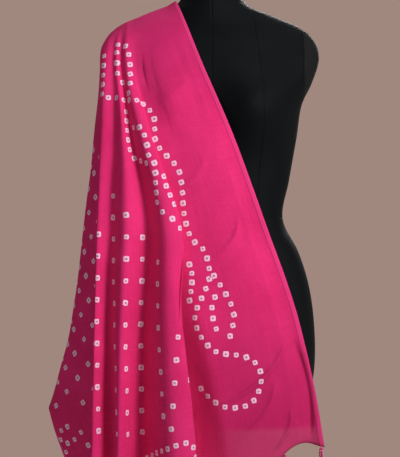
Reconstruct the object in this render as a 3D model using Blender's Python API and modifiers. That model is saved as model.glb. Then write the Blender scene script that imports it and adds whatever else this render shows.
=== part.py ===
"""A dupatta stole draped over one shoulder of a limbless dress form on a stand.

Metres, +Z up. The form faces -Y and stands on Z = 0, with its pole on the Z axis.
The cloth is one rectangle. A place on it is (across, along): across runs from the selvedge beside
the neck (0) to the far selvedge (CLOTH_WIDTH), and along runs from the shoulder's ridge down.
"""

import math
from collections import namedtuple

import bmesh
import bpy
import numpy as np
from mathutils import Matrix, Vector

# Driving sizes
GAP = 0.0003
CLOTH_WIDTH = 0.68
FRONT_LENGTH = 0.915
BACK_LENGTH = 0.94
WALL = 0.001
CLEAR_OF_FORM = 0.005
SEAM = 0.00055
LOWEST = 0.05
SIDE_START = 0.006

POLE_RADIUS = 0.016
BASE_RADIUS = 0.19
BASE_HEIGHT = 0.016
FORM_BOTTOM = 0.682
FORM_TOP = 1.500
ARMHOLE_X = 0.1672
ARMHOLE_LOW = 1.262
CAP_PART = 0.0006

TASSELS_PER_END = 11
TASSEL_STRANDS = 8
TASSEL_LENGTH = 0.044
TASSEL_HEAD = 0.009
TASSEL_RADIUS = 0.0042
TASSEL_TIE_RADIUS = 0.0006
STRAND_PARTING = 0.00035
TASSEL_INSET = 0.006
TASSEL_TURN = 0.7

# The form's level sections: half its width, its reach to the front and the back, and how square it is.
Section = namedtuple("Section", "z half_width front back squareness")
FORM_SECTIONS = (
    Section(0.682, 0.1700, 0.104, 0.118, 2.25),
    Section(0.700, 0.1765, 0.110, 0.124, 2.25),
    Section(0.780, 0.1900, 0.118, 0.134, 2.25),
    Section(0.860, 0.1890, 0.117, 0.132, 2.25),
    Section(0.930, 0.1790, 0.112, 0.116, 2.20),
    Section(0.990, 0.1600, 0.104, 0.096, 2.15),
    Section(1.050, 0.1315, 0.096, 0.082, 2.10),
    Section(1.120, 0.1430, 0.100, 0.088, 2.15),
    Section(1.200, 0.1570, 0.108, 0.100, 2.25),
    Section(1.260, 0.1665, 0.112, 0.108, 2.30),
    Section(1.300, 0.1850, 0.108, 0.108, 2.20),
    Section(1.345, 0.1985, 0.088, 0.098, 2.00),
    Section(1.378, 0.1900, 0.068, 0.082, 1.80),
    Section(1.402, 0.1650, 0.058, 0.068, 1.65),
    Section(1.424, 0.1150, 0.056, 0.060, 1.65),
    Section(1.440, 0.0740, 0.056, 0.058, 1.85),
    Section(1.456, 0.0570, 0.055, 0.057, 2.00),
    Section(1.500, 0.0540, 0.053, 0.055, 2.00),
)
BUST_OUT, BUST_X, BUST_Z, BUST_WIDE, BUST_HIGH = 0.034, 0.082, 1.248, 0.056, 0.062

# Levels at which the falls' lengthwise fold lines are placed, from the shoulder down.
LEVELS = (1.32, 1.20, 1.05, 0.87, 0.65)
FRONT_DRAPE = (0.108, 0.146, 0.143, 0.137, 0.130)
BACK_DRAPE = (0.112, 0.122, 0.128, 0.142, 0.150)
DRAPE_HALF_WIDTH = 0.262
DRAPE_SQUARENESS = 2.6

# Lengthwise fold lines: where each lies across the cloth, at the shoulder and at the hem, its X at the
# shoulder's ridge and at each level, and how far it stands out from the drape at the lowest level.
Fold = namedtuple("Fold", "name across_top across_hem ridge_x x1 x2 x3 x4 x5 out")
FRONT_FOLDS = (
    Fold("neck_selvedge", 0.000, 0.000, -0.066, -0.015, 0.0355, 0.0905, 0.153, 0.1985, -0.030),
    Fold("panel_right", 0.027, 0.054, -0.082, -0.045, 0.000, 0.0480, 0.105, 0.1430, -0.003),
    Fold("panel_middle", 0.054, 0.111, -0.100, -0.078, -0.038, 0.0050, 0.055, 0.0830, 0.004),
    Fold("panel_left", 0.079, 0.163, -0.120, -0.112, -0.078, -0.036, -0.006, 0.0100, -0.002),
    Fold("tuck", 0.107, 0.204, -0.134, -0.133, -0.107, -0.067, -0.058, -0.0480, 0.006),
    Fold("great_edge", 0.135, 0.230, -0.144, -0.142, -0.110, -0.058, -0.039, -0.0270, 0.036),
    Fold("great_ridge", 0.179, 0.283, -0.152, -0.152, -0.126, -0.086, -0.080, -0.0720, 0.052),
    Fold("deep_valley", 0.231, 0.330, -0.161, -0.160, -0.142, -0.114, -0.121, -0.1250, -0.012),
    Fold("middle_ridge", 0.287, 0.371, -0.169, -0.169, -0.156, -0.150, -0.158, -0.1620, 0.044),
    Fold("outer_valley", 0.335, 0.402, -0.178, -0.177, -0.172, -0.177, -0.181, -0.1760, 0.006),
    Fold("outer_ridge", 0.390, 0.427, -0.188, -0.190, -0.194, -0.201, -0.206, -0.2100, 0.044),
    Fold("side_seam", 0.440, 0.440, -0.2000, -0.1985, -0.199, -0.199, -0.198, -0.1960, -0.022),
)
BACK_FOLDS = (
    Fold("neck_selvedge", 0.000, 0.000, -0.066, -0.055, -0.036, -0.016, 0.006, 0.0300, 0.000),
    Fold("panel_right", 0.033, 0.048, -0.084, -0.080, -0.068, -0.052, -0.038, -0.0260, 0.016),
    Fold("first_valley", 0.084, 0.107, -0.104, -0.100, -0.086, -0.072, -0.060, -0.0480, -0.020),
    Fold("first_ridge", 0.143, 0.180, -0.124, -0.122, -0.114, -0.100, -0.090, -0.0800, 0.074),
    Fold("second_valley", 0.203, 0.251, -0.140, -0.138, -0.130, -0.122, -0.114, -0.1060, -0.014),
    Fold("second_ridge", 0.273, 0.323, -0.158, -0.158, -0.154, -0.148, -0.142, -0.1380, 0.078),
    Fold("third_valley", 0.349, 0.387, -0.178, -0.177, -0.174, -0.170, -0.164, -0.1600, -0.006),
    Fold("side_seam", 0.440, 0.440, -0.2000, -0.2000, -0.201, -0.200, -0.199, -0.1980, 0.004),
)

# The side fall's fold lines run out from the shoulder's end. turn is a line's angle on the cloth from
# straight forward, lean_x and lean_y are how far it leans for each metre that it drops, tuck is how
# strongly it turns in below the form's hip, and curl how far it turns in past the flare's end.
SHOULDER_END_X = -0.2012
SHOULDER_ROUND = 0.050
SHOULDER_SPREAD = 0.022
FORM_SIDE_DROP = 0.42
FLARE_START = 0.10
FLARE_END = 0.660
Flute = namedtuple("Flute", "name turn lean_x lean_y tuck curl")
FLUTES = (
    Flute("front_seam", 0, 0.0, 0.0, 0.0, 0.0),
    Flute("front_valley", 8, 0.010, -0.015, 0.42, 0.0),
    Flute("front_flare", 19.3, -0.130, 0.120, -0.45, 0.62),
    Flute("side_valley", 42, 0.140, 0.045, 0.0, 0.0),
    Flute("side_flare", 68, -0.180, 0.130, 0.0, 0.0),
    Flute("rear_valley", 92, 0.150, 0.060, 0.0, 0.0),
    Flute("rear_flare", 118, -0.170, 0.110, 0.0, 0.0),
    Flute("tail_valley", 142, 0.030, -0.030, 0.0, 0.0),
    Flute("tail_flare", 160, -0.140, 0.060, 0.0, 0.1),
    Flute("back_valley", 172, -0.004, 0.015, 0.0, 0.0),
    Flute("back_seam", 180, 0.0, 0.0, 0.0, 0.0),
)

SAMPLES_PER_FOLD = 3
FOLD_SAMPLES = (0.0, 0.28, 0.72)
ROWS = 20
ROW_GROWTH = 1.25

COLOURS = {
    "cloth": ((0.66, 0.035, 0.17, 1.0), 0.85, 0.0),
    "tassel": ((0.70, 0.05, 0.22, 1.0), 0.8, 0.0),
    "form": ((0.009, 0.011, 0.013, 1.0), 0.7, 0.0),
    "metal": ((0.03, 0.03, 0.032, 1.0), 0.4, 0.9),
}


def clear_scene():
    for old in list(bpy.data.objects):
        bpy.data.objects.remove(old, do_unlink=True)


def new_collection(name):
    made = bpy.data.collections.new(name)
    bpy.context.scene.collection.children.link(made)
    return made


def material(name):
    found = bpy.data.materials.get(name)
    if found:
        return found
    made = bpy.data.materials.new(name)
    made.use_nodes = True
    shader = made.node_tree.nodes["Principled BSDF"]
    colour, roughness, metallic = COLOURS[name]
    shader.inputs["Base Color"].default_value = colour
    shader.inputs["Roughness"].default_value = roughness
    shader.inputs["Metallic"].default_value = metallic
    made.diffuse_color = colour
    return made


def add_object(name, mesh, finish, collection):
    made = bpy.data.objects.new(name, mesh)
    mesh.materials.append(material(finish))
    mesh.shade_smooth()
    mesh.set_sharp_from_angle(angle=math.radians(50))
    collection.objects.link(made)
    return made


def mesh_from_bmesh(name, shape):
    mesh = bpy.data.meshes.new(name)
    shape.to_mesh(mesh)
    shape.free()
    return mesh


def smooth_through(knots, values, where):
    """A smooth curve through the values at the knots, read at each place in where (Catmull-Rom)."""
    knots = np.asarray(knots, float)
    values = np.asarray(values, float)
    where = np.clip(np.asarray(where, float), knots[0], knots[-1])
    slopes = np.empty_like(values)
    slopes[1:-1] = ((values[2:] - values[:-2]).T / (knots[2:] - knots[:-2])).T
    slopes[0] = (values[1] - values[0]) / (knots[1] - knots[0])
    slopes[-1] = (values[-1] - values[-2]) / (knots[-1] - knots[-2])
    low = np.clip(np.searchsorted(knots, where, side="right") - 1, 0, len(knots) - 2)
    span = knots[low + 1] - knots[low]
    t = (where - knots[low]) / span
    shape = (-1,) + (1,) * (values.ndim - 1)
    t, span = t.reshape(shape), span.reshape(shape)
    return (
        (2 * t**3 - 3 * t**2 + 1) * values[low]
        + (t**3 - 2 * t**2 + t) * span * slopes[low]
        + (-2 * t**3 + 3 * t**2) * values[low + 1]
        + (t**3 - t**2) * span * slopes[low + 1]
    )


def form_section(z):
    """The form's half width, front, back and squareness at each height."""
    knots = [s.z for s in FORM_SECTIONS]
    return smooth_through(knots, [s[1:] for s in FORM_SECTIONS], np.atleast_1d(z)).T


def bust(x, z):
    """How far the form's front swells out at (x, z)."""
    sideways = (np.abs(x) - BUST_X) / BUST_WIDE
    upward = (z - BUST_Z) / BUST_HIGH
    return BUST_OUT * np.exp(-(sideways**2) - upward**2)


def form_reach(x, z, front):
    """How far the form reaches from Y = 0 to its front or its back at (x, z), 0 outside it."""
    half_width, ahead, behind, squareness = form_section(z)
    inside = np.clip(1 - (np.abs(x) / half_width) ** squareness, 0, 1)
    reach = (ahead if front else behind) * inside ** (1 / squareness)
    return reach + (bust(x, z) * np.minimum(1, inside * 3) if front else 0)


def cloth_ridge(x):
    """The height at which the cloth crosses the shoulder line at x, clear of the form."""
    aside = CLEAR_OF_FORM * np.linspace(-1, 1, 21)
    return float(np.max(ridge_height(x + aside) + np.sqrt(CLEAR_OF_FORM**2 - aside**2)))


def ridge_height(x):
    """The height of the form's shoulder line at each x."""
    heights = np.linspace(1.345, FORM_TOP, 200)
    widths = form_section(heights)[0]
    return np.interp(-np.abs(x), -widths, heights)


def form_ring(z, sides):
    """A level ring of the form's surface, from the right side round by the back."""
    half_width, ahead, behind, squareness = (v[0] for v in form_section(z))
    points = []
    for i in range(sides):
        angle = 2 * math.pi * i / sides
        c, s = math.cos(angle), math.sin(angle)
        x = half_width * math.copysign(abs(c) ** (2 / squareness), c)
        reach = behind if s > 0 else ahead
        y = reach * math.copysign(abs(s) ** (2 / squareness), s)
        if s < 0:
            y -= float(bust(x, z)) * min(1, 3 * abs(s) ** 2)
        points.append((x, y, z))
    return points


def loft(rings):
    """A closed solid through rings with equal numbers of points, capped at both ends."""
    shape = bmesh.new()
    loops = [[shape.verts.new(p) for p in ring] for ring in rings]
    count = len(loops[0])
    for lower, upper in zip(loops, loops[1:]):
        for i in range(count):
            j = (i + 1) % count
            shape.faces.new((lower[i], lower[j], upper[j], upper[i]))
    shape.faces.new(loops[0][::-1])
    shape.faces.new(loops[-1])
    bmesh.ops.recalc_face_normals(shape, faces=shape.faces)
    return shape


def box_cutter(name, low, high, cutters):
    shape = bmesh.new()
    centre = (Vector(low) + Vector(high)) / 2
    size = Vector(high) - Vector(low)
    place = Matrix.Translation(centre) @ Matrix.Diagonal((*size, 1))
    bmesh.ops.create_cube(shape, size=1, matrix=place)
    cutter = bpy.data.objects.new(name, mesh_from_bmesh(name, shape))
    cutter.hide_render = True
    cutter.display_type = "WIRE"
    cutters.objects.link(cutter)
    return cutter


def boolean(target, cutter, operation):
    modifier = target.modifiers.new(operation.lower(), "BOOLEAN")
    modifier.operation = operation
    modifier.object = cutter


def build_form(parts, cutters):
    """The padded torso, parted at its armholes, with its two arm caps and the neck's cap."""
    sides = 32
    levels = (0.682, 0.70, 0.74, 0.79, 0.85, 0.91, 0.96, 1.01, 1.05, 1.10, 1.15, 1.19)
    levels += (1.22, 1.25, 1.28, 1.31, 1.335, 1.355, 1.375, 1.39, 1.404, 1.416, 1.428)
    levels += (1.440, 1.456, FORM_TOP)
    body = add_object(
        "form_body",
        mesh_from_bmesh("form_body", loft([form_ring(z, sides) for z in levels])),
        "form",
        parts,
    )
    for side, sign in (("left", -1), ("right", 1)):
        cap = add_object(f"form_arm_cap_{side}", body.data.copy(), "form", parts)
        inner, outer = ARMHOLE_X, 0.3
        body_low = (min(sign * inner, sign * outer), -0.3, ARMHOLE_LOW)
        body_high = (max(sign * inner, sign * outer), 0.3, 1.6)
        boolean(body, box_cutter(f"armhole_{side}", body_low, body_high, cutters), "DIFFERENCE")
        inner = ARMHOLE_X + CAP_PART
        cap_low = (min(sign * inner, sign * outer), -0.3, ARMHOLE_LOW + CAP_PART)
        cap_high = (max(sign * inner, sign * outer), 0.3, 1.6)
        boolean(cap, box_cutter(f"arm_cap_{side}", cap_low, cap_high, cutters), "INTERSECT")
    shape = bmesh.new()
    bmesh.ops.create_cone(
        shape,
        cap_ends=True,
        segments=28,
        radius1=0.0515,
        radius2=0.0475,
        depth=0.010,
        matrix=Matrix.Translation((0, 0.001, FORM_TOP + GAP + 0.005)),
    )
    add_object("form_neck_cap", mesh_from_bmesh("form_neck_cap", shape), "metal", parts)


def turned(name, profile, finish, collection, steps=40):
    """A turned piece: profile is (radius, z), down its outer side from the top."""
    shape = bmesh.new()
    points = [shape.verts.new((radius, 0, z)) for radius, z in profile]
    for a, b in zip(points, points[1:]):
        shape.edges.new((a, b))
    made = add_object(name, mesh_from_bmesh(name, shape), finish, collection)
    screw = made.modifiers.new("turn", "SCREW")
    screw.steps = screw.render_steps = steps
    screw.use_merge_vertices = True
    screw.merge_threshold = 0.00005
    screw.use_smooth_shade = True
    return made


def build_stand(parts):
    base = (
        (0.0, BASE_HEIGHT + 0.006),
        (POLE_RADIUS + 0.012, BASE_HEIGHT + 0.006),
        (POLE_RADIUS + 0.016, BASE_HEIGHT + 0.001),
        (BASE_RADIUS - 0.030, BASE_HEIGHT - 0.002),
        (BASE_RADIUS - 0.004, 0.009),
        (BASE_RADIUS, 0.005),
        (BASE_RADIUS, 0.0),
        (0.0, 0.0),
    )
    turned("stand_base", base, "metal", parts)
    foot, head = BASE_HEIGHT + 0.006 + GAP, FORM_BOTTOM - GAP
    collar = POLE_RADIUS + 0.022
    pole = (
        (0.0, head),
        (collar, head),
        (collar, head - 0.006),
        (POLE_RADIUS + 0.004, head - 0.012),
        (POLE_RADIUS, head - 0.020),
        (POLE_RADIUS, foot),
        (0.0, foot),
    )
    turned("stand_pole", pole, "metal", parts, steps=24)


def moved_towards(column, neighbour):
    """A column of points moved by half a seam towards its neighbour."""
    step = neighbour - column
    return column + SEAM * step / np.maximum(np.linalg.norm(step, axis=1, keepdims=True), SEAM)


def drape_reach(x, z, front):
    """How far the cloth hangs from Y = 0 between its folds, clear of the form."""
    depths = FRONT_DRAPE if front else BACK_DRAPE
    depth = smooth_through(LEVELS[::-1], depths[::-1], z)
    inside = np.clip(1 - (np.abs(x) / DRAPE_HALF_WIDTH) ** DRAPE_SQUARENESS, 0.02, 1)
    return depth * inside ** (1 / DRAPE_SQUARENESS)


def along(points, wanted):
    """The places on a line of points at each wanted distance from its start."""
    run = np.concatenate([[0], np.cumsum(np.linalg.norm(np.diff(points, axis=0), axis=1))])
    return np.stack([np.interp(wanted, run, points[:, i]) for i in range(3)], axis=1)


def fold_line(fold, front, wanted):
    """The points of one lengthwise fold line, at each wanted distance of cloth from the ridge."""
    sign = -1 if front else 1
    top_z = cloth_ridge(fold.ridge_x)
    heights = [top_z, *LEVELS, LOWEST]
    slope = (fold.x5 - fold.x4) / (LEVELS[4] - LEVELS[3])
    across = [fold.ridge_x, fold.x1, fold.x2, fold.x3, fold.x4, fold.x5]
    across.append(fold.x5 + 0.6 * slope * (LOWEST - LEVELS[4]))
    near = top_z - SHOULDER_ROUND * np.linspace(0, 1, 24, endpoint=False) ** 2
    z = np.concatenate([near, np.linspace(top_z - SHOULDER_ROUND, LOWEST, 80)])
    x = smooth_through(heights[::-1], across[::-1], z)
    drop = np.clip((top_z - z) / (top_z - LEVELS[4]), 0, 1.6)
    hang = drape_reach(x, np.clip(z, LEVELS[4], LEVELS[0]), front)
    start = np.clip((top_z - z) / (top_z - LEVELS[0]), 0, 1)
    hang = hang * np.sqrt(1 - (1 - start) ** 2) + fold.out * drop
    reach = np.maximum(hang, form_reach(x, z, front) + CLEAR_OF_FORM * np.sqrt(np.minimum(1, start * 4)))
    return along(np.stack([x, sign * reach, z], axis=1), wanted)


def wanted_clearance(distances, columns):
    """How far each point of a fall keeps from the form, growing from the ridge down."""
    return np.tile(CLEAR_OF_FORM * np.minimum(1, distances / SHOULDER_ROUND), columns)


def row_distances(limit):
    """The distances from the ridge of the cloth's rows, down to its edge at limit."""
    return SIDE_START + (limit - SIDE_START) * np.linspace(0, 1, ROWS) ** ROW_GROWTH


def fall_points(folds, length, front):
    """A grid of points [column, row] on the front or the back fall."""
    wanted = np.concatenate([[SEAM], row_distances(length)])
    lines = [fold_line(fold, front, wanted) for fold in folds]
    lines.append(flute_line(FLUTES[1 if front else -2], wanted))
    columns = np.linspace(0, len(folds) - 1, (len(folds) - 1) * SAMPLES_PER_FOLD + 1)
    grid = smooth_through(np.arange(len(lines)), lines, columns)
    sign = -1 if front else 1
    flat = grid.reshape(-1, 3)
    free = wanted_clearance(wanted, len(columns))
    reach = form_reach(flat[:, 0], flat[:, 2], front) + free
    flat[:, 1] = sign * np.maximum(sign * flat[:, 1], np.where(free > 0, reach, 0))
    grid[-1] = moved_towards(grid[-1], grid[-2])
    return grid


def flute_line(flute, distance):
    """Points down one of the side fall's fold lines, at each distance out from the shoulder's end."""
    turn = math.radians(flute.turn)
    bend = SHOULDER_ROUND * (1 - np.exp(-distance / SHOULDER_ROUND))
    hung = distance - bend
    below = np.maximum(0, hung - FORM_SIDE_DROP)
    opened = hung**2 / (hung + FLARE_START)
    x = SHOULDER_END_X + flute.lean_x * opened + flute.tuck * below**2
    x += flute.curl * np.maximum(0, hung - FLARE_END)
    ahead = math.cos(turn) + SHOULDER_SPREAD / SHOULDER_ROUND * math.cos(turn) ** 3
    y = flute.lean_y * hung - ahead * bend
    steep = np.sqrt(1 + flute.lean_x**2 + flute.lean_y**2)
    z = cloth_ridge(SHOULDER_END_X) - math.sin(turn) * bend - hung / steep
    return np.stack([x, y, z], axis=-1)


def side_limit(turn):
    """The distance from the shoulder's end to the cloth's own edge, along a line at this turn."""
    outward = (CLOTH_WIDTH - FRONT_FOLDS[-1].across_hem) / max(math.sin(turn), 1e-6)
    length = FRONT_LENGTH if math.cos(turn) > 0 else BACK_LENGTH
    return min(outward, length / max(abs(math.cos(turn)), 1e-6))


def side_lines(distances):
    """The side fall's fold lines, between the falls' seams, with the fold line past each seam."""
    lines = [fold_line(fold, True, distances) for fold in FRONT_FOLDS[-2:]]
    lines += [flute_line(flute, distances) for flute in FLUTES[1:-1]]
    lines += [fold_line(fold, False, distances) for fold in BACK_FOLDS[:-3:-1]]
    return np.array(lines)


def side_columns(where, distances):
    """The side fall's lines between its fold lines, read at each place in where."""
    lines = side_lines(distances)
    return smooth_through(np.arange(-1, len(lines) - 1), lines, where)


def corner_turn(length):
    """How far the line to the cloth's corner is turned from the seam, in degrees."""
    return math.degrees(math.atan2(CLOTH_WIDTH - FRONT_FOLDS[-1].across_hem, length))


def side_places():
    """Where the side fall's columns lie among its fold lines, and the turn of each."""
    places = np.arange(len(FLUTES))
    turns = [flute.turn for flute in FLUTES]
    where = (places[:-1, None] + np.array(FOLD_SAMPLES)).ravel()
    corners = [corner_turn(FRONT_LENGTH), 180 - corner_turn(BACK_LENGTH)]
    where = np.sort(np.concatenate([where, places[-1:], np.interp(corners, turns, places)]))
    return where, np.interp(where, places, turns)


def side_points():
    """A grid of points [column, row] on the side fall, each column straight out on the cloth."""
    where, turns = side_places()
    distances = np.linspace(0, 1.2, 121)
    columns = []
    for line, turn in zip(side_columns(where, distances), np.radians(turns)):
        wanted = row_distances(side_limit(turn))
        columns.append(np.stack([np.interp(wanted, distances, line[:, i]) for i in range(3)], axis=1))
    grid = np.array(columns)
    grid[0] = moved_towards(grid[0], grid[1])
    grid[-1] = moved_towards(grid[-1], grid[-2])
    return grid


def hem_points(front):
    """How far across the cloth each column ends on a hem, its end, and the point above its end."""
    folds, length = (FRONT_FOLDS, FRONT_LENGTH) if front else (BACK_FOLDS, BACK_LENGTH)
    fall = fall_points(folds, length, front)
    places = np.linspace(0, len(folds) - 1, len(fall))
    fall_across = np.interp(places, np.arange(len(folds)), [fold.across_hem for fold in folds])
    side, turns = side_points(), side_places()[1]
    if not front:
        side, turns = side[::-1], 180 - turns[::-1]
    on_hem = turns <= corner_turn(length) + 0.001
    side_across = fall_across[-1] + length * np.tan(np.radians(turns[on_hem]))
    across = np.concatenate([fall_across, side_across + 1e-6])
    ends = np.concatenate([fall[:, -1], side[on_hem, -1]])
    above = np.concatenate([fall[:, -2], side[on_hem, -2]])
    return across, ends, above


def hem_place(across, hem):
    """A place on a hem, the direction along it, and the direction straight out of it."""
    places, ends, above = hem
    read = lambda points, at: np.array([np.interp(at, places, points[:, i]) for i in range(3)])
    run = read(ends, across + 0.004) - read(ends, across - 0.004)
    run /= np.linalg.norm(run)
    out = read(ends, across) - read(above, across)
    out -= run * out.dot(run)
    return read(ends, across), run, out / np.linalg.norm(out)


def tassel_mesh():
    """A tied head with its strands drawn down from it, hanging from its own origin."""
    shape = bmesh.new()
    bmesh.ops.create_cone(
        shape,
        cap_ends=True,
        segments=TASSEL_STRANDS,
        radius1=TASSEL_RADIUS,
        radius2=TASSEL_TIE_RADIUS,
        depth=TASSEL_HEAD,
        matrix=Matrix.Translation((0, 0, -TASSEL_HEAD / 2)),
    )
    underside = [face for face in shape.faces if face.normal.z < -0.9]
    fan = bmesh.ops.poke(shape, faces=underside)["faces"]
    bmesh.ops.inset_individual(shape, faces=fan, thickness=STRAND_PARTING)
    strands = bmesh.ops.extrude_discrete_faces(shape, faces=fan)["faces"]
    for i, strand in enumerate(strands):
        for vert in strand.verts:
            vert.co.z -= TASSEL_LENGTH * (1 + 0.05 * math.cos(2.4 * i))
            vert.co.xy *= 1.15
    return mesh_from_bmesh("tassel", shape)


def build_tassels(parts):
    """Tassels hanging straight down, each just clear of the hem that it is tied to."""
    mesh = tassel_mesh()
    mesh.materials.append(material("tassel"))
    for end, front in (("front", True), ("back", False)):
        hem = hem_points(front)
        for i in range(TASSELS_PER_END):
            across = TASSEL_INSET + (CLOTH_WIDTH - 2 * TASSEL_INSET) * i / (TASSELS_PER_END - 1)
            place, run, out = hem_place(across, hem)
            made = bpy.data.objects.new(f"tassel_{end}_{i + 1:02d}", mesh)
            made.location = place + out * (GAP + TASSEL_TIE_RADIUS * abs(run[2]))
            made.rotation_euler.z = TASSEL_TURN * i
            parts.objects.link(made)


def sheet_mesh(name, grid):
    """An open surface through a grid of points [column, row]."""
    shape = bmesh.new()
    verts = [[shape.verts.new(tuple(p)) for p in column] for column in grid]
    for left, right in zip(verts, verts[1:]):
        for i in range(len(left) - 1):
            shape.faces.new((left[i], left[i + 1], right[i + 1], right[i]))
    return mesh_from_bmesh(name, shape)


def add_cloth(name, grid, parts):
    made = add_object(name, sheet_mesh(name, grid), "cloth", parts)
    wall = made.modifiers.new("wall", "SOLIDIFY")
    wall.thickness = WALL
    wall.offset = 0
    wall.use_quality_normals = True
    return made


def main():
    clear_scene()
    parts = new_collection("dupatta_on_dress_form")
    cutters = new_collection("cutters")
    build_form(parts, cutters)
    build_stand(parts)
    add_cloth("dupatta_front", fall_points(FRONT_FOLDS, FRONT_LENGTH, True), parts)
    add_cloth("dupatta_back", fall_points(BACK_FOLDS, BACK_LENGTH, False), parts)
    add_cloth("dupatta_side", side_points(), parts)
    build_tassels(parts)


main()
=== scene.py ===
"""The looks of the dupatta stole on its dress form: fine cloth, dyed dots, form, tassels and studio."""

import math
from collections import namedtuple

import bmesh
import bpy
import numpy as np
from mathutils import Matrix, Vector
from mathutils.kdtree import KDTree


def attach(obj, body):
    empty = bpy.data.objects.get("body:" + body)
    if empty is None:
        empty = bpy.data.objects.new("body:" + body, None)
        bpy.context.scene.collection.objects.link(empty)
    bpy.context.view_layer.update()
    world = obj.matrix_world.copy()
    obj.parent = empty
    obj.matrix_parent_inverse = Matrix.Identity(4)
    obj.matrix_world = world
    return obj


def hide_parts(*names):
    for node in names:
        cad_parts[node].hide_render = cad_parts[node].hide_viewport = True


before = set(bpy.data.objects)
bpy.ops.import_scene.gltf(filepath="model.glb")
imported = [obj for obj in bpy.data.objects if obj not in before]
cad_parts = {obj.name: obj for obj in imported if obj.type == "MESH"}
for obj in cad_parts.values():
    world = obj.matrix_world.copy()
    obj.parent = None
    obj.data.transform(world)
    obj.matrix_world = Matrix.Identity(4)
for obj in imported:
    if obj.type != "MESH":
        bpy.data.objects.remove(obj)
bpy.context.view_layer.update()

# Driving sizes, as in the part
CLOTH_WIDTH = 0.68
FRONT_LENGTH = 0.915
BACK_LENGTH = 0.94
WALL = 0.001
CLEAR_OF_FORM = 0.005
LOWEST = 0.05
SIDE_START = 0.006
FORM_TOP = 1.500
ARMHOLE_X = 0.1672
ARMHOLE_LOW = 1.262
WAIST_Z = 1.052
TORSO_SIDES = 128
FLOOR_HALF = 2.6
TASSELS_PER_END = 11
TASSEL_LENGTH = 0.044
TASSEL_HEAD = 0.009
TASSEL_RADIUS = 0.0042
TASSEL_INSET = 0.006
TASSEL_TURN = 0.7
TASSEL_DROP = 0.0009
STRANDS = 34
GOLDEN_ANGLE = 2.399963

# The form's level sections: half its width, its reach to the front and the back, and how square it is.
Section = namedtuple("Section", "z half_width front back squareness")
FORM_SECTIONS = [Section(*row) for row in (
    (0.682, 0.1700, 0.104, 0.118, 2.25),
    (0.700, 0.1765, 0.110, 0.124, 2.25),
    (0.780, 0.1900, 0.118, 0.134, 2.25),
    (0.860, 0.1890, 0.117, 0.132, 2.25),
    (0.930, 0.1790, 0.112, 0.116, 2.20),
    (0.990, 0.1600, 0.104, 0.096, 2.15),
    (1.050, 0.1315, 0.096, 0.082, 2.10),
    (1.120, 0.1430, 0.100, 0.088, 2.15),
    (1.200, 0.1570, 0.108, 0.100, 2.25),
    (1.260, 0.1665, 0.112, 0.108, 2.30),
    (1.300, 0.1850, 0.108, 0.108, 2.20),
    (1.345, 0.1985, 0.088, 0.098, 2.00),
    (1.378, 0.1900, 0.068, 0.082, 1.80),
    (1.402, 0.1650, 0.058, 0.068, 1.65),
    (1.424, 0.1150, 0.056, 0.060, 1.65),
    (1.440, 0.0740, 0.056, 0.058, 1.85),
    (1.456, 0.0570, 0.055, 0.057, 2.00),
    (1.500, 0.0540, 0.053, 0.055, 2.00),
)]
FORM_BOTTOM = FORM_SECTIONS[0].z
BUST_OUT, BUST_X, BUST_Z, BUST_WIDE, BUST_HIGH = 0.034, 0.082, 1.248, 0.056, 0.062

# Levels at which the falls' lengthwise fold lines are placed, from the shoulder down.
LEVELS = (1.32, 1.20, 1.05, 0.87, 0.65)
FRONT_DRAPE = (0.108, 0.146, 0.143, 0.137, 0.130)
BACK_DRAPE = (0.112, 0.122, 0.128, 0.142, 0.150)
DRAPE_HALF_WIDTH = 0.262
DRAPE_SQUARENESS = 2.6

# Lengthwise fold lines: where each lies across the cloth, at the shoulder and at the hem, its X at the
# shoulder's ridge and at each level, and how far it stands out from the drape at the lowest level.
Fold = namedtuple("Fold", "name across_top across_hem ridge_x x1 x2 x3 x4 x5 out")
FRONT_FOLDS = (
    Fold("neck_selvedge", 0.000, 0.000, -0.066, -0.015, 0.0355, 0.0905, 0.153, 0.1985, -0.030),
    Fold("panel_right", 0.027, 0.054, -0.082, -0.045, 0.000, 0.0480, 0.105, 0.1430, -0.003),
    Fold("panel_middle", 0.054, 0.111, -0.100, -0.078, -0.038, 0.0050, 0.055, 0.0830, 0.004),
    Fold("panel_left", 0.079, 0.163, -0.120, -0.112, -0.078, -0.036, -0.006, 0.0100, -0.002),
    Fold("tuck", 0.107, 0.204, -0.134, -0.133, -0.107, -0.067, -0.058, -0.0480, 0.006),
    Fold("great_edge", 0.135, 0.230, -0.144, -0.142, -0.110, -0.058, -0.039, -0.0270, 0.036),
    Fold("great_ridge", 0.179, 0.283, -0.152, -0.152, -0.126, -0.086, -0.080, -0.0720, 0.052),
    Fold("deep_valley", 0.231, 0.330, -0.161, -0.160, -0.142, -0.114, -0.121, -0.1250, -0.012),
    Fold("middle_ridge", 0.287, 0.371, -0.169, -0.169, -0.156, -0.150, -0.158, -0.1620, 0.044),
    Fold("outer_valley", 0.335, 0.402, -0.178, -0.177, -0.172, -0.177, -0.181, -0.1760, 0.006),
    Fold("outer_ridge", 0.390, 0.427, -0.188, -0.190, -0.194, -0.201, -0.206, -0.2100, 0.044),
    Fold("side_seam", 0.440, 0.440, -0.2000, -0.1985, -0.199, -0.199, -0.198, -0.1960, -0.022),
)
SEAM_ACROSS = FRONT_FOLDS[-1].across_hem
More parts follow.
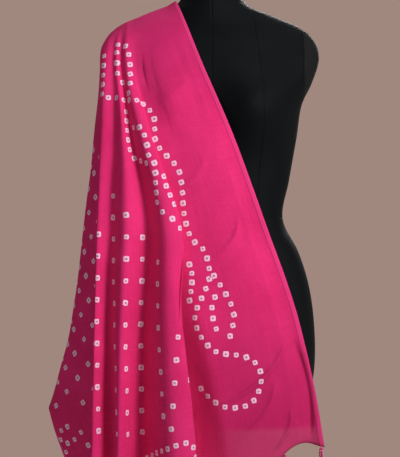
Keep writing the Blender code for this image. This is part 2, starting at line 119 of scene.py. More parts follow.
BACK_FOLDS = (
    Fold("neck_selvedge", 0.000, 0.000, -0.066, -0.055, -0.036, -0.016, 0.006, 0.0300, 0.000),
    Fold("panel_right", 0.033, 0.048, -0.084, -0.080, -0.068, -0.052, -0.038, -0.0260, 0.016),
    Fold("first_valley", 0.084, 0.107, -0.104, -0.100, -0.086, -0.072, -0.060, -0.0480, -0.020),
    Fold("first_ridge", 0.143, 0.180, -0.124, -0.122, -0.114, -0.100, -0.090, -0.0800, 0.074),
    Fold("second_valley", 0.203, 0.251, -0.140, -0.138, -0.130, -0.122, -0.114, -0.1060, -0.014),
    Fold("second_ridge", 0.273, 0.323, -0.158, -0.158, -0.154, -0.148, -0.142, -0.1380, 0.078),
    Fold("third_valley", 0.349, 0.387, -0.178, -0.177, -0.174, -0.170, -0.164, -0.1600, -0.006),
    Fold("side_seam", 0.440, 0.440, -0.2000, -0.2000, -0.201, -0.200, -0.199, -0.1980, 0.004),
)

# The side fall's fold lines run out from the shoulder's end. turn is a line's angle on the cloth from
# straight forward, lean_x and lean_y are how far it leans for each metre that it drops, tuck is how
# strongly it turns in below the form's hip, and curl how far it turns in past the flare's end.
SHOULDER_END_X = -0.2012
SHOULDER_ROUND = 0.050
SHOULDER_SPREAD = 0.022
FORM_SIDE_DROP = 0.42
FLARE_START = 0.10
FLARE_END = 0.660
Flute = namedtuple("Flute", "name turn lean_x lean_y tuck curl", defaults=(0.0, 0.0, 0.0, 0.0))
FLUTES = (
    Flute("front_seam", 0),
    Flute("front_valley", 8, 0.010, -0.015, 0.42),
    Flute("front_flare", 19.3, -0.130, 0.120, -0.45, 0.62),
    Flute("side_valley", 42, 0.140, 0.045),
    Flute("side_flare", 68, -0.180, 0.130),
    Flute("rear_valley", 92, 0.150, 0.060),
    Flute("rear_flare", 118, -0.170, 0.110),
    Flute("tail_valley", 142, 0.030, -0.030),
    Flute("tail_flare", 160, -0.140, 0.060, 0.0, 0.1),
    Flute("back_valley", 172, -0.004, 0.015),
    Flute("back_seam", 180),
)

# The fine cloth's rows, and its columns for each stretch between two fold lines.
FINE_ROWS = 112
ROW_GROWTH = 1.25
FINE_PER_FOLD = 9
FINE_PER_FLUTE = 18
COLUMN_GAP = 0.00045
FAN_REACH = 1.2

# The panel is drawn taut up to TAUT_END and less so over TAUT_FADE before it, in fold places.
TAUT_STEPS = 260
TAUT_END, TAUT_FADE = 3.4, 0.8
NEAREST = 0.0025

# The tuck and the crest beside the panel. Both grow below TUCK_TOP and ease off below EASE_TOP.
TUCK_START, TUCK_END, TUCK_DEPTH = 0.148, 0.226, 0.024
TUCK_OPENS, TUCK_CLOSES = 0.032, 0.020
TUCK_TOP, TUCK_GROWS = 0.50, 0.14
EASE_TOP, EASE_GROWS = 0.80, 0.10
TUCK_EASE, CREST_EASE = 0.6, 0.5
CREST_HEIGHT, CREST_HALF_WIDTH, CREST_ASIDE = 0.010, 0.026, 0.004

# Pitches of the threads, the knit and the stitches.
THREAD_PITCH, KNIT_PITCH, STITCH_LENGTH = 0.0011, 0.0016, 0.0032

# The hem's shallow arc beside the corner of the panel.
ARC_CENTRE, ARC_HALF_WIDTH, ARC_START = 0.047, 0.055, 0.80
ARC_RISE, ARC_BACK = 0.024, 0.010

# Tie-dyed dots. The field's rows are FIELD_PITCH apart, and a chain's dots CHAIN_PITCH apart. A face
# takes the nearest dot within DOT_SEARCH that faces the same way and lies on the same layer.
DOT_HALF = 0.0049
FIELD_PITCH = 0.0385
CHAIN_PITCH = 0.0180
DOT_SEARCH, DOT_FACING, DOT_LAYER = 0.0165, 0.25, 0.006
DOT_SQUARENESS = 4.2

# The side field stands cornerwise, clear of the shoulder, the far edge and the waves above the hems.
# Each hem has two waves of dots, WAVE_GAP apart.
DIAMOND_STEP, DIAMOND_OUT, DIAMOND_DOWN = 0.0228, -0.004, 0.013
FIELD_TOP, FIELD_INSET, FIELD_ABOVE_HEM = 0.20, 0.025, 0.235
WAVE_HEIGHT, WAVE_LENGTH, WAVE_CREST = 0.026, 0.13, 0.20
WAVE_ABOVE_HEM, WAVE_GAP, WAVE_INSET, WAVE_END = 0.175, 0.024, 0.012, 0.02

# Columns of single dots: the fold place at the top and at the low end, and the first and last distance.
DotColumn = namedtuple("DotColumn", "name place_top place_low first last")
FRONT_COLUMNS = (
    DotColumn("left_face", 9.85, 9.60, 0.431, 0.805),
    DotColumn("outer_valley", 8.90, 8.25, 0.371, 0.815),
    DotColumn("middle_ridge", 8.00, 7.55, 0.416, 0.815),
    DotColumn("deep_valley", 7.25, 6.95, 0.456, 0.815),
    DotColumn("ridge_side", 6.40, 6.20, 0.511, 0.810),
    DotColumn("ridge_front", 5.60, 5.95, 0.651, 0.805),
    DotColumn("great_edge", 5.05, 5.25, 0.690, 0.735),
)

# Chains of dots on a fall. A point is a fold place and a distance down from the shoulder's ridge.
FRONT_CHAINS = {
    "shoulder_loop": ((7.8, 0.10), (6.3, 0.11), (5.3, 0.14), (5.6, 0.18), (6.3, 0.205)),
    "shoulder_inner": ((8.1, 0.115), (8.1, 0.14), (7.9, 0.16), (7.2, 0.175)),
    "shoulder_edge": ((10.25, 0.100), (10.35, 0.130), (10.30, 0.172)),
    "shoulder_bar": ((9.5, 0.190), (8.4, 0.200), (7.2, 0.212), (6.2, 0.219), (5.4, 0.226)),
    "wave": (
        (4.3, 0.234), (3.7, 0.246), (3.5, 0.27), (3.8, 0.305), (3.4, 0.335), (3.0, 0.365), (3.1, 0.40),
        (3.3, 0.44), (3.2, 0.485), (2.75, 0.515), (2.75, 0.56), (3.1, 0.59), (3.38, 0.622),
        (3.25, 0.66), (2.85, 0.692), (2.15, 0.714), (1.78, 0.738), (1.78, 0.768),
        (2.1, 0.797), (2.6, 0.795), (3.05, 0.775), (3.35, 0.75),
    ),
    "stem": ((7.3, 0.232), (7.45, 0.27), (7.4, 0.31), (6.6, 0.328), (6.0, 0.345), (5.55, 0.346)),
    "inner_bar": ((6.6, 0.267), (6.0, 0.276), (5.65, 0.290), (5.65, 0.310), (5.8, 0.330)),
    "fold_edge": ((5.72, 0.363), (5.95, 0.380), (6.10, 0.396), (6.18, 0.411)),
    "twig": ((5.15, 0.372), (5.28, 0.388), (5.22, 0.406), (5.06, 0.423)),
    "twig_low": ((5.95, 0.431), (5.5, 0.447), (5.1, 0.466)),
    "leaf": ((2.6, 0.562), (2.35, 0.600), (2.25, 0.638), (2.45, 0.672)),
    "leaf_inner": ((2.7, 0.598), (2.87, 0.620), (2.80, 0.652)),
    "bud": ((3.4, 0.53), (3.35, 0.552), (3.5, 0.592)),
    "hem_wave": ((9.9, 0.86), (8.6, 0.845), (7.4, 0.86), (6.3, 0.84), (5.4, 0.835), (5.1, 0.862)),
}
BACK_CHAINS = {
    "wave": (
        (1.5, 0.08), (2.3, 0.14), (1.6, 0.20), (2.2, 0.27), (1.5, 0.34), (2.1, 0.41),
        (1.4, 0.48), (2.0, 0.55), (1.4, 0.62), (1.9, 0.69), (1.4, 0.76), (2.0, 0.83),
    ),
    "hem": ((2.6, 0.85), (3.6, 0.835), (4.6, 0.86), (5.6, 0.835), (6.8, 0.855)),
}
BACK_COLUMNS = [
    DotColumn(f"back_{i}", place, place, (0.075, 0.055)[i % 2], 0.80)
    for i, place in enumerate((2.80, 3.50, 4.20, 4.90, 5.55, 6.25, 6.90))
]

# The two falls. sign is the side of Y on which a fall hangs.
Fall = namedtuple("Fall", "name sign folds length drape columns chains")
FRONT = Fall("front", -1, FRONT_FOLDS, FRONT_LENGTH, FRONT_DRAPE, FRONT_COLUMNS, FRONT_CHAINS)
BACK = Fall("back", 1, BACK_FOLDS, BACK_LENGTH, BACK_DRAPE, BACK_COLUMNS, BACK_CHAINS)

# Soft creases pressed in the front fall: from one fold place and distance to another, half width, and
# height, which is below 0 for a valley. Each bows aside by CREASE_BOW at its middle.
CREASE_BOW = 0.012
Crease = namedtuple("Crease", "name place_a down_a place_b down_b half_width height")
CREASES = (
    Crease("long_diagonal", 2.9, 0.79, 0.5, 0.70, 0.009, 0.0030),
    Crease("waist_fold", 2.4, 0.53, 1.0, 0.47, 0.008, 0.0020),
    Crease("corner_fold", 1.7, 0.90, 0.9, 0.82, 0.008, 0.0032),
    Crease("low_diagonal", 2.6, 0.86, 1.2, 0.76, 0.010, 0.0022),
    Crease("chest_fold", 2.8, 0.24, 1.1, 0.20, 0.012, 0.0008),
    Crease("middle_fold", 3.2, 0.40, 1.6, 0.35, 0.012, 0.0008),
    Crease("edge_valley", 0.50, 0.91, 0.42, 0.70, 0.010, -0.0040),
)


def smooth_through(knots, values, where):
    """A smooth curve through the values at the knots, read at each place in where (Catmull-Rom)."""
    knots = np.asarray(knots, float)
    values = np.asarray(values, float)
    where = np.clip(np.asarray(where, float), knots[0], knots[-1])
    slopes = np.empty_like(values)
    slopes[1:-1] = ((values[2:] - values[:-2]).T / (knots[2:] - knots[:-2])).T
    slopes[0] = (values[1] - values[0]) / (knots[1] - knots[0])
    slopes[-1] = (values[-1] - values[-2]) / (knots[-1] - knots[-2])
    low = np.clip(np.searchsorted(knots, where, side="right") - 1, 0, len(knots) - 2)
    span = knots[low + 1] - knots[low]
    t = (where - knots[low]) / span
    shape = (-1,) + (1,) * (values.ndim - 1)
    t, span = t.reshape(shape), span.reshape(shape)
    return (
        (2 * t**3 - 3 * t**2 + 1) * values[low]
        + (t**3 - 2 * t**2 + t) * span * slopes[low]
        + (-2 * t**3 + 3 * t**2) * values[low + 1]
        + (t**3 - t**2) * span * slopes[low + 1]
    )


def form_section(z):
    """The form's half width, front, back and squareness at each height."""
    knots = [s.z for s in FORM_SECTIONS]
    return smooth_through(knots, [s[1:] for s in FORM_SECTIONS], np.atleast_1d(z)).T


def bust(x, z):
    """How far the form's front swells out at (x, z)."""
    sideways = (np.abs(x) - BUST_X) / BUST_WIDE
    upward = (z - BUST_Z) / BUST_HIGH
    return BUST_OUT * np.exp(-(sideways**2) - upward**2)


def form_reach(x, z, fall):
    """How far the form reaches from Y = 0 to its front or its back at (x, z), 0 outside it."""
    half_width, ahead, behind, squareness = form_section(z)
    inside = np.clip(1 - (np.abs(x) / half_width) ** squareness, 0, 1)
    reach = (ahead if fall is FRONT else behind) * inside ** (1 / squareness)
    return reach + (bust(x, z) * np.minimum(1, inside * 3) if fall is FRONT else 0)


def cloth_ridge(x):
    """The height at which the cloth crosses the shoulder line at x, clear of the form."""
    aside = CLEAR_OF_FORM * np.linspace(-1, 1, 21)
    return float(np.max(ridge_height(x + aside) + np.sqrt(CLEAR_OF_FORM**2 - aside**2)))


def ridge_height(x):
    """The height of the form's shoulder line at each x."""
    heights = np.linspace(1.345, FORM_TOP, 200)
    widths = form_section(heights)[0]
    return np.interp(-np.abs(x), -widths, heights)


def form_ring(z, sides):
    """A level ring of the form's surface, from the right side round by the back."""
    half_width, ahead, behind, squareness = (v[0] for v in form_section(z))
    points = []
    for i in range(sides):
        angle = 2 * math.pi * i / sides
        c, s = math.cos(angle), math.sin(angle)
        x = half_width * math.copysign(abs(c) ** (2 / squareness), c)
        reach = behind if s > 0 else ahead
        y = reach * math.copysign(abs(s) ** (2 / squareness), s)
        if s < 0:
            y -= float(bust(x, z)) * min(1, 3 * abs(s) ** 2)
        points.append((x, y, z))
    return points


def drape_reach(x, z, fall):
    """How far the cloth hangs from Y = 0 between its folds, clear of the form."""
    depth = smooth_through(LEVELS[::-1], fall.drape[::-1], z)
    inside = np.clip(1 - (np.abs(x) / DRAPE_HALF_WIDTH) ** DRAPE_SQUARENESS, 0.02, 1)
    return depth * inside ** (1 / DRAPE_SQUARENESS)


def read_along(at, knots, points):
    """The points read at each place, between the knots at which they stand."""
    return np.stack([np.interp(at, knots, axis) for axis in points.T], axis=-1)


def run_of(points):
    """How far along a line of points each of them lies."""
    return np.concatenate([[0], np.cumsum(np.linalg.norm(np.diff(points, axis=0), axis=1))])


def fold_line(fold, fall, wanted):
    """The points of one lengthwise fold line, at each wanted distance of cloth from the ridge."""
    top_z = cloth_ridge(fold.ridge_x)
    heights = [top_z, *LEVELS, LOWEST]
    slope = (fold.x5 - fold.x4) / (LEVELS[4] - LEVELS[3])
    across = [fold.ridge_x, fold.x1, fold.x2, fold.x3, fold.x4, fold.x5]
    across.append(fold.x5 + 0.6 * slope * (LOWEST - LEVELS[4]))
    near = top_z - SHOULDER_ROUND * np.linspace(0, 1, 24, endpoint=False) ** 2
    z = np.concatenate([near, np.linspace(top_z - SHOULDER_ROUND, LOWEST, 80)])
    x = smooth_through(heights[::-1], across[::-1], z)
    drop = np.clip((top_z - z) / (top_z - LEVELS[4]), 0, 1.6)
    hang = drape_reach(x, np.clip(z, LEVELS[4], LEVELS[0]), fall)
    start = np.clip((top_z - z) / (top_z - LEVELS[0]), 0, 1)
    hang = hang * np.sqrt(1 - (1 - start) ** 2) + fold.out * drop
    reach = np.maximum(hang, form_reach(x, z, fall) + CLEAR_OF_FORM * np.sqrt(np.minimum(1, start * 4)))
    points = np.stack([x, fall.sign * reach, z], axis=1)
    return read_along(wanted, run_of(points), points)


def flute_line(flute, distance):
    """Points down one of the side fall's fold lines, at each distance out from the shoulder's end."""
    turn = math.radians(flute.turn)
    bend = SHOULDER_ROUND * (1 - np.exp(-distance / SHOULDER_ROUND))
    hung = distance - bend
    below = np.maximum(0, hung - FORM_SIDE_DROP)
    opened = hung**2 / (hung + FLARE_START)
    x = SHOULDER_END_X + flute.lean_x * opened + flute.tuck * below**2
    x += flute.curl * np.maximum(0, hung - FLARE_END)
    ahead = math.cos(turn) + SHOULDER_SPREAD / SHOULDER_ROUND * math.cos(turn) ** 3
    y = flute.lean_y * hung - ahead * bend
    steep = np.sqrt(1 + flute.lean_x**2 + flute.lean_y**2)
    z = cloth_ridge(SHOULDER_END_X) - math.sin(turn) * bend - hung / steep
    return np.stack([x, y, z], axis=-1)


def side_limit(turn):
    """The distance from the shoulder's end to the cloth's own edge, along a line at this turn."""
    outward = (CLOTH_WIDTH - SEAM_ACROSS) / max(math.sin(turn), 1e-6)
    length = FRONT_LENGTH if math.cos(turn) > 0 else BACK_LENGTH
    return min(outward, length / max(abs(math.cos(turn)), 1e-6))


def side_lines(distances):
    """The side fall's fold lines, between the falls' seams, with the fold line past each seam."""
    lines = [fold_line(fold, FRONT, distances) for fold in FRONT_FOLDS[-2:]]
    lines += [flute_line(flute, distances) for flute in FLUTES[1:-1]]
    lines += [fold_line(fold, BACK, distances) for fold in BACK_FOLDS[:-3:-1]]
    return np.array(lines)


def side_columns(where, distances):
    """The side fall's lines between its fold lines, read at each place in where."""
    lines = side_lines(distances)
    return smooth_through(np.arange(-1, len(lines) - 1), lines, where)


def corner_turn(length):
    """How far the line to the cloth's corner is turned from the seam, in degrees."""
    return math.degrees(math.atan2(CLOTH_WIDTH - SEAM_ACROSS, length))


def fine_rows(limit):
    """The distances from the ridge of the fine cloth's rows, down to its edge at limit."""
    return SIDE_START + (limit - SIDE_START) * np.linspace(0, 1, FINE_ROWS) ** ROW_GROWTH


def fall_surface(fall, places, distances):
    """The points [place, distance] of the front or the back fall, clear of the form."""
    lines = [fold_line(fold, fall, distances) for fold in fall.folds]
    lines.append(flute_line(FLUTES[1 if fall is FRONT else -2], distances))
    grid = smooth_through(np.arange(len(lines)), lines, places)
    flat = grid.reshape(-1, 3)
    free = np.tile(CLEAR_OF_FORM * np.minimum(1, distances / SHOULDER_ROUND), len(places))
    reach = form_reach(flat[:, 0], flat[:, 2], fall) + free
    flat[:, 1] = fall.sign * np.maximum(fall.sign * flat[:, 1], np.where(free > 0, reach, 0))
    return grid


def turns_at(places):
    """The side fall's turn at each place among its fold lines, in degrees."""
    return np.interp(places, np.arange(len(FLUTES)), [flute.turn for flute in FLUTES])


def across_at(fall, places, distances):
    """How far across the cloth each [place, distance] of a fall lies."""
    knots = np.arange(len(fall.folds))
    top = np.interp(places, knots, [fold.across_top for fold in fall.folds])[:, None]
    hem = np.interp(places, knots, [fold.across_hem for fold in fall.folds])[:, None]
    return top + (hem - top) * (distances / fall.length)[None, :]


def shared_places():
    """Fold places on the front and the back whose lines meet at the shoulder's ridge, column by column."""
    found = []
    for folds in (FRONT_FOLDS, BACK_FOLDS):
        places = np.linspace(0, len(folds) - 1, (len(folds) - 1) * 60 + 1)
        at_ridge = smooth_through(np.arange(len(folds)), [fold.ridge_x for fold in folds], places)
        evenly = np.linspace(0, len(folds) - 1, (len(folds) - 1) * FINE_PER_FOLD + 1)
        found.append((places, at_ridge, np.interp(evenly, places, at_ridge)))
    ridge = np.sort(np.concatenate([found[0][2], found[1][2]]))[::-1]
    kept = [ridge[0]]
    for x in ridge[1:]:
        if kept[-1] - x > COLUMN_GAP:
            kept.append(x)
    kept[-1] = ridge[-1]
    ridge = np.array(kept)
    return [np.interp(-ridge, -at_ridge, places) for places, at_ridge, _ in found]


def fan_places():
    """The side fall's columns, closer together where the cloth reaches farther from the shoulder."""
    even = np.linspace(0, len(FLUTES) - 1, 2001)
    reach = np.array([side_limit(turn) for turn in np.radians(turns_at(even))])
    crowding = 0.4 + reach / reach.max()
    run = np.concatenate([[0], np.cumsum((crowding[1:] + crowding[:-1]) / 2)])
    columns = (len(FLUTES) - 1) * FINE_PER_FLUTE + 1
    return np.interp(np.linspace(0, run[-1], columns), run, even)


def grid_normals(grid):
    """The grid's unit normals, which point into the body on the front and the side."""
    down = np.gradient(grid, axis=1)
    over = np.gradient(grid, axis=0)
    normals = np.cross(down, over)
    return normals / np.maximum(np.linalg.norm(normals, axis=2, keepdims=True), 1e-9)


def taut(grid, places):
    """The front fall drawn taut over the bust, so that the panel beside the neck stays smooth."""
    free = np.clip((TAUT_END - places) / TAUT_FADE, 0, 1)[:, None] * np.ones(grid.shape[1])
    free[:, :4] = 0
    start = -grid[:, :, 1]
    reach = start.copy()
    for _ in range(TAUT_STEPS):
        padded = np.pad(reach, 1, mode="edge")
        mean = (padded[:-2, 1:-1] + padded[2:, 1:-1] + 2 * padded[1:-1, :-2] + 2 * padded[1:-1, 2:]) / 6
        reach += free * (np.maximum(start, mean) - reach)
    grid[:, :, 1] = -reach
    return grid


def arched(grid, across, along):
    """The front hem drawn up and back in a shallow arc beside its corner."""
    over = np.clip(1 - ((across - ARC_CENTRE) / ARC_HALF_WIDTH) ** 2, 0, None) ** 2
    down = np.clip((along - ARC_START) / (FRONT_LENGTH - ARC_START), 0, 1) ** 2
    grid[:, :, 1] += ARC_BACK * over * down
    grid[:, :, 2] += ARC_RISE * over * down
    return grid


def kept_clear(grid, fall):
    """The grid with no point nearer to the form than NEAREST, below the shoulder's ridge."""
    hung = grid[:, 1:]
    reach = form_reach(hung[..., 0].ravel(), hung[..., 2].ravel(), fall)
    reach = (reach + NEAREST * (reach > 0)).reshape(hung.shape[:2])
    hung[..., 1] = fall.sign * np.maximum(fall.sign * hung[..., 1], np.where(reach > 0, reach, -1))
    return grid


def ramp(value, start, width):
    """0 up to start, 1 past start + width, and an even rise between them."""
    return np.clip((value - start) / width, 0, 1)


def crease_ends(crease):
    """The flat places on the front fall between which a crease runs."""
    ends = []
    for place, down in ((crease.place_a, crease.down_a), (crease.place_b, crease.down_b)):
        at = across_at(FRONT, np.array([place]), np.array([down]))
        ends.append((float(at[0, 0]), down))
    return ends


def crease_lift(crease, across, along):
    """How far one crease lifts the front fall: a hump along a bowed line, with a trough beside it."""
    (ax, ay), (bx, by) = crease_ends(crease)
    dx, dy = bx - ax, by - ay
    share = ((across - ax) * dx + (along - ay) * dy) / (dx * dx + dy * dy)
    bow = CREASE_BOW * np.sin(math.pi * np.clip(share, 0, 1))
    aside = ((across - ax) * dy - (along - ay) * dx) / math.hypot(dx, dy) - bow
    fade = np.clip(np.minimum(share, 1 - share) * 3.5, 0, 1)
    hump = np.exp(-((aside / crease.half_width) ** 2))
    trough = np.exp(-(((aside - 1.5 * crease.half_width) / crease.half_width) ** 2))
    return crease.height * fade * (hump - 0.6 * trough)


def pressed(grid, across, along, fall=None):
    """The grid with its creases, its tuck and a slight unevenness along its normals."""
    lift = 0.0005 * np.sin(31 * across + 9 * along + 1.3 * np.sin(23 * along))
    lift += 0.0004 * np.sin(57 * along - 21 * across + 1.7 * np.sin(29 * across))
    if fall is FRONT:
        for crease in CREASES:
            lift = lift + crease_lift(crease, across, along)
        grown, ease = ramp(along, TUCK_TOP, TUCK_GROWS), ramp(along, EASE_TOP, EASE_GROWS)
        recess = grown * ramp(across, TUCK_START, TUCK_OPENS)
        recess = recess * ramp(-across, -TUCK_END, TUCK_CLOSES) * (1 - TUCK_EASE * ease)
        crest = np.exp(-(((across - TUCK_START + CREST_ASIDE) / CREST_HALF_WIDTH) ** 2)) * grown
        lift = lift - TUCK_DEPTH * recess + CREST_HEIGHT * crest * (1 - CREST_EASE * ease)
    off_ridge = np.clip(np.abs(along) / 0.05, 0, 1)
    off_shoulder_end = np.clip(np.hypot(across - SEAM_ACROSS, along) / 0.08, 0, 1)
    outward = 1 if fall is BACK else -1
    return grid + outward * grid_normals(grid) * (lift * off_ridge * off_shoulder_end)[..., None]


def row_at(patch, place, down):
    """Which row of a patch lies at this distance from the ridge, as a fraction."""
    if patch == "side":
        limit = side_limit(math.radians(float(turns_at(place))))
        share = min(1.0, max(0.0, (down - SIDE_START) / (limit - SIDE_START)))
        return share ** (1 / ROW_GROWTH) * (FINE_ROWS - 1)
    rows = np.concatenate([[0.0], fine_rows(FRONT_LENGTH if patch == "front" else BACK_LENGTH)])
    return float(np.interp(down, rows, np.arange(len(rows))))


def cloth_point(patches, patch, place, down):
    """The point of the fine cloth at a fold place and a distance from the ridge."""
    grid, _, _, places = patches[patch]
    u = float(np.interp(place, places, np.arange(len(places))))
    v = row_at(patch, place, down)
    i, j = min(int(u), len(places) - 2), min(int(v), grid.shape[1] - 2)
    s, t = u - i, v - j
    left = grid[i, j] * (1 - t) + grid[i, j + 1] * t
    right = grid[i + 1, j] * (1 - t) + grid[i + 1, j + 1] * t
    return left * (1 - s) + right * s


def surface_frame(patches, patch, place, down):
    """The point at a place on a fall, with the directions across and down the cloth there."""

    def point(aside, below):
        return cloth_point(patches, patch, place + aside, down + below)

    below = point(0, 0.004) - point(0, -0.004)
    below /= np.linalg.norm(below)
    aside = point(0.04, 0) - point(-0.04, 0)
    aside -= below * aside.dot(below)
    return point(0, 0), aside / np.linalg.norm(aside), below


def chain_places(points, patch, patches):
    """The places of one chain's dots, evenly spaced on the cloth, each with a slight slant."""
    points = np.array(points)
    smooth = smooth_through(np.arange(len(points)), points, np.linspace(0, len(points) - 1, 160))
    run = run_of(np.array([cloth_point(patches, patch, place, down) for place, down in smooth]))
    spots = read_along(np.linspace(0, run[-1], max(2, round(run[-1] / CHAIN_PITCH) + 1)), run, smooth)
    return [(patch, place, down, 0.15 * math.sin(5.1 * i)) for i, (place, down) in enumerate(spots)]


def column_places(fall):
    """The places of the field's dots on a fall, row by row down each column."""
    found = []
    for n, column in enumerate(fall.columns):
        rows = int((column.last - column.first) / FIELD_PITCH) + 1
        for i in range(rows):
            down = column.first + i * FIELD_PITCH
            share = i / max(1, rows - 1)
            place = column.place_top + (column.place_low - column.place_top) * share
            found.append((fall.name, place, down, 0.12 * math.sin(3.7 * i + n)))
    return found


def side_dots():
    """The side fall's dots, set cornerwise, with a double wave above each hem."""
    turn_places = np.linspace(0, len(FLUTES) - 1, 2001)
    turns = turns_at(turn_places)
    far = CLOTH_WIDTH - SEAM_ACROSS

    def dot(out, down, slant):
        turn = math.degrees(math.atan2(out, down))
        return "side", float(np.interp(turn, turns, turn_places)), math.hypot(out, down), slant

    found = []
    for i in range(-36, 36):
        for j in range(2 - i % 2, 11, 2):
            out, down = DIAMOND_STEP * j + DIAMOND_OUT, DIAMOND_STEP * i + DIAMOND_DOWN
            low = (FRONT_LENGTH if down > 0 else BACK_LENGTH) - FIELD_ABOVE_HEM
            if math.hypot(out, down) > FIELD_TOP and out < far - FIELD_INSET and abs(down) < low:
                found.append(dot(out, down, math.pi / 4 + 0.1 * math.sin(i)))
    last = None
    for sign, low in ((1, FRONT_LENGTH), (-1, BACK_LENGTH)):
        for lower in (0.0, WAVE_GAP):
            for out in np.linspace(far - WAVE_INSET, WAVE_END, 60):
                wave = WAVE_HEIGHT * math.cos((out - WAVE_CREST) * 2 * math.pi / WAVE_LENGTH)
                spot = (out, sign * (low - WAVE_ABOVE_HEM - wave + lower))
                if last is None or math.dist(last, spot) >= CHAIN_PITCH:
                    last = spot
                    found.append(dot(*spot, 0.2))
    return found


def all_dots(patches):
    """Each dot's centre, its two directions on the cloth, its normal and its size."""
    places = column_places(FRONT) + column_places(BACK)
    for fall in (FRONT, BACK):
        for points in fall.chains.values():
            places += chain_places(points, fall.name, patches)
    places += side_dots()
    dots = []
    for i, (patch, place, down, slant) in enumerate(places):
        centre, aside, below = surface_frame(patches, patch, place, down)
        c, s = math.cos(slant), math.sin(slant)
        first = aside * c + below * s
        second = below * c - aside * s
        size = DOT_HALF * (1 + 0.10 * math.sin(2.9 * i + 0.6))
        dots.append((centre, first, second, np.cross(first, second), size))
    return dots


def side_patch():
    """The side fall's fine grid, each column ending at the cloth's own edge, with its flat places."""
    corners = [corner_turn(FRONT_LENGTH), 180 - corner_turn(BACK_LENGTH)]
    places = fan_places()
    for corner in np.interp(corners, [flute.turn for flute in FLUTES], np.arange(len(FLUTES))):
        places[np.abs(places - corner).argmin()] = corner
    turns = np.radians(turns_at(places))
    fan = np.linspace(0, FAN_REACH, 241)
    side, rows = [], []
    for line, turn in zip(side_columns(places, fan), turns):
        wanted = fine_rows(side_limit(turn))
        side.append(read_along(wanted, fan, line))
        rows.append(wanted)
    across = SEAM_ACROSS + np.array(rows) * np.sin(turns)[:, None]
    along = np.array(rows) * np.cos(turns)[:, None]
    return pressed(np.array(side), across, along), across, along, places


def fall_patch(fall, places):
    """The front or the back fall's fine grid, with its flat places."""
    down = np.concatenate([[0.0], fine_rows(fall.length)])
    across = across_at(fall, places, down)
    along = np.broadcast_to(-fall.sign * down, across.shape)
    grid = fall_surface(fall, places, down)
    if fall is FRONT:
        grid = arched(taut(grid, places), across, along)
    return kept_clear(pressed(grid, across, along, fall), fall), across, along, places


def cloth_patches():
    """The fine cloth's grids, each with its points and its flat places across and along the cloth."""
    front_places, back_places = shared_places()
    patches = {"front": fall_patch(FRONT, front_places), "back": fall_patch(BACK, back_places)}
    patches["side"] = side_patch()
    front, back, side = (patch[0] for patch in patches.values())
    front[:, 0] = back[:, 0] = (front[:, 0] + back[:, 0]) / 2
    front[-1, 1:] = side[0] = (front[-1, 1:] + side[0]) / 2
    back[-1, 1:] = side[-1] = (back[-1, 1:] + side[-1]) / 2
    return patches


def new_object(name, mesh, finish):
    """A smooth object in the scene with one finish."""
    made = add_to_scene(name, mesh)
    mesh.materials.append(finish)
    mesh.shade_smooth()
    return made


def add_to_scene(name, data):
    """A new object with this data, in the scene."""
    made = bpy.data.objects.new(name, data)
    bpy.context.scene.collection.objects.link(made)
    return made


def build_cloth(finish, patches):
    """The whole stole as one fine sheet, with its flat places and its dots in two UV maps."""
    points, faces, flat = [], [], []
    start = 0
    for patch, (grid, across, along_cloth, _) in patches.items():
        columns, rows = grid.shape[:2]
        points.append(grid.reshape(-1, 3))
        flat.append(np.stack([across.ravel(), along_cloth.ravel()], axis=1))
        index = start + np.arange(columns * rows).reshape(columns, rows)
        quads = np.stack([index[:-1, :-1], index[:-1, 1:], index[1:, 1:], index[1:, :-1]], axis=-1)
        if patch == "back":
            quads = quads[..., ::-1]
        faces.append(quads.reshape(-1, 4))
        if patch == "front":
            corner = (columns - 1) * rows
        if patch == "side":
            fan = [(corner, start + (i + 1) * rows, start + i * rows) for i in range(columns - 1)]
        start += columns * rows
    flat = np.concatenate(flat)
    polygons = [tuple(face) for face in np.concatenate(faces)] + fan
    _, first, index = np.unique(
        np.round(np.concatenate(points), 6), axis=0, return_index=True, return_inverse=True
    )
    index = index.reshape(-1)
    mesh = bpy.data.meshes.new("dupatta")
    kept = np.concatenate(points)[first].tolist()
    mesh.from_pydata(kept, [], [[int(index[v]) for v in face] for face in polygons])
    loops = np.concatenate([np.asarray(face) for face in polygons])
    for name, places in (("cloth", flat[loops]), ("dot", None)):
        layer = mesh.uv_layers.new(name=name)
        places = dot_places(mesh, patches) if places is None else places
        layer.data.foreach_set("uv", places.astype(np.float32).ravel())
    made = new_object("dupatta", mesh, finish)
    wall = made.modifiers.new("wall", "SOLIDIFY")
    wall.thickness = WALL
    wall.offset = 0
    return made


def dot_places(mesh, patches):
    """Each face corner's place on its nearest dot, in half dots, and far outside where there is none."""
    dots = all_dots(patches)
    tree = KDTree(len(dots))
    for i, dot in enumerate(dots):
        tree.insert(Vector(dot[0]), i)
    tree.balance()
    places = np.full((len(mesh.loops), 2), 9.0)
    for face in mesh.polygons:
        best, nearest = None, DOT_SEARCH
        for _, i, distance in tree.find_range(face.center, DOT_SEARCH):
            away = np.array(face.center) - dots[i][0]
            normal = dots[i][3]
            facing = abs(float(np.dot(normal, np.array(face.normal))))
            same_layer = facing > DOT_FACING and abs(away.dot(normal)) < DOT_LAYER
            if same_layer and (best is None or distance < nearest):
                best, nearest = dots[i], distance
        if best is None:
            continue
        centre, first, second, _, size = best
        for loop in face.loop_indices:
            away = np.array(mesh.vertices[mesh.loops[loop].vertex_index].co) - centre
            places[loop] = (away.dot(first) / size, away.dot(second) / size)
    return places


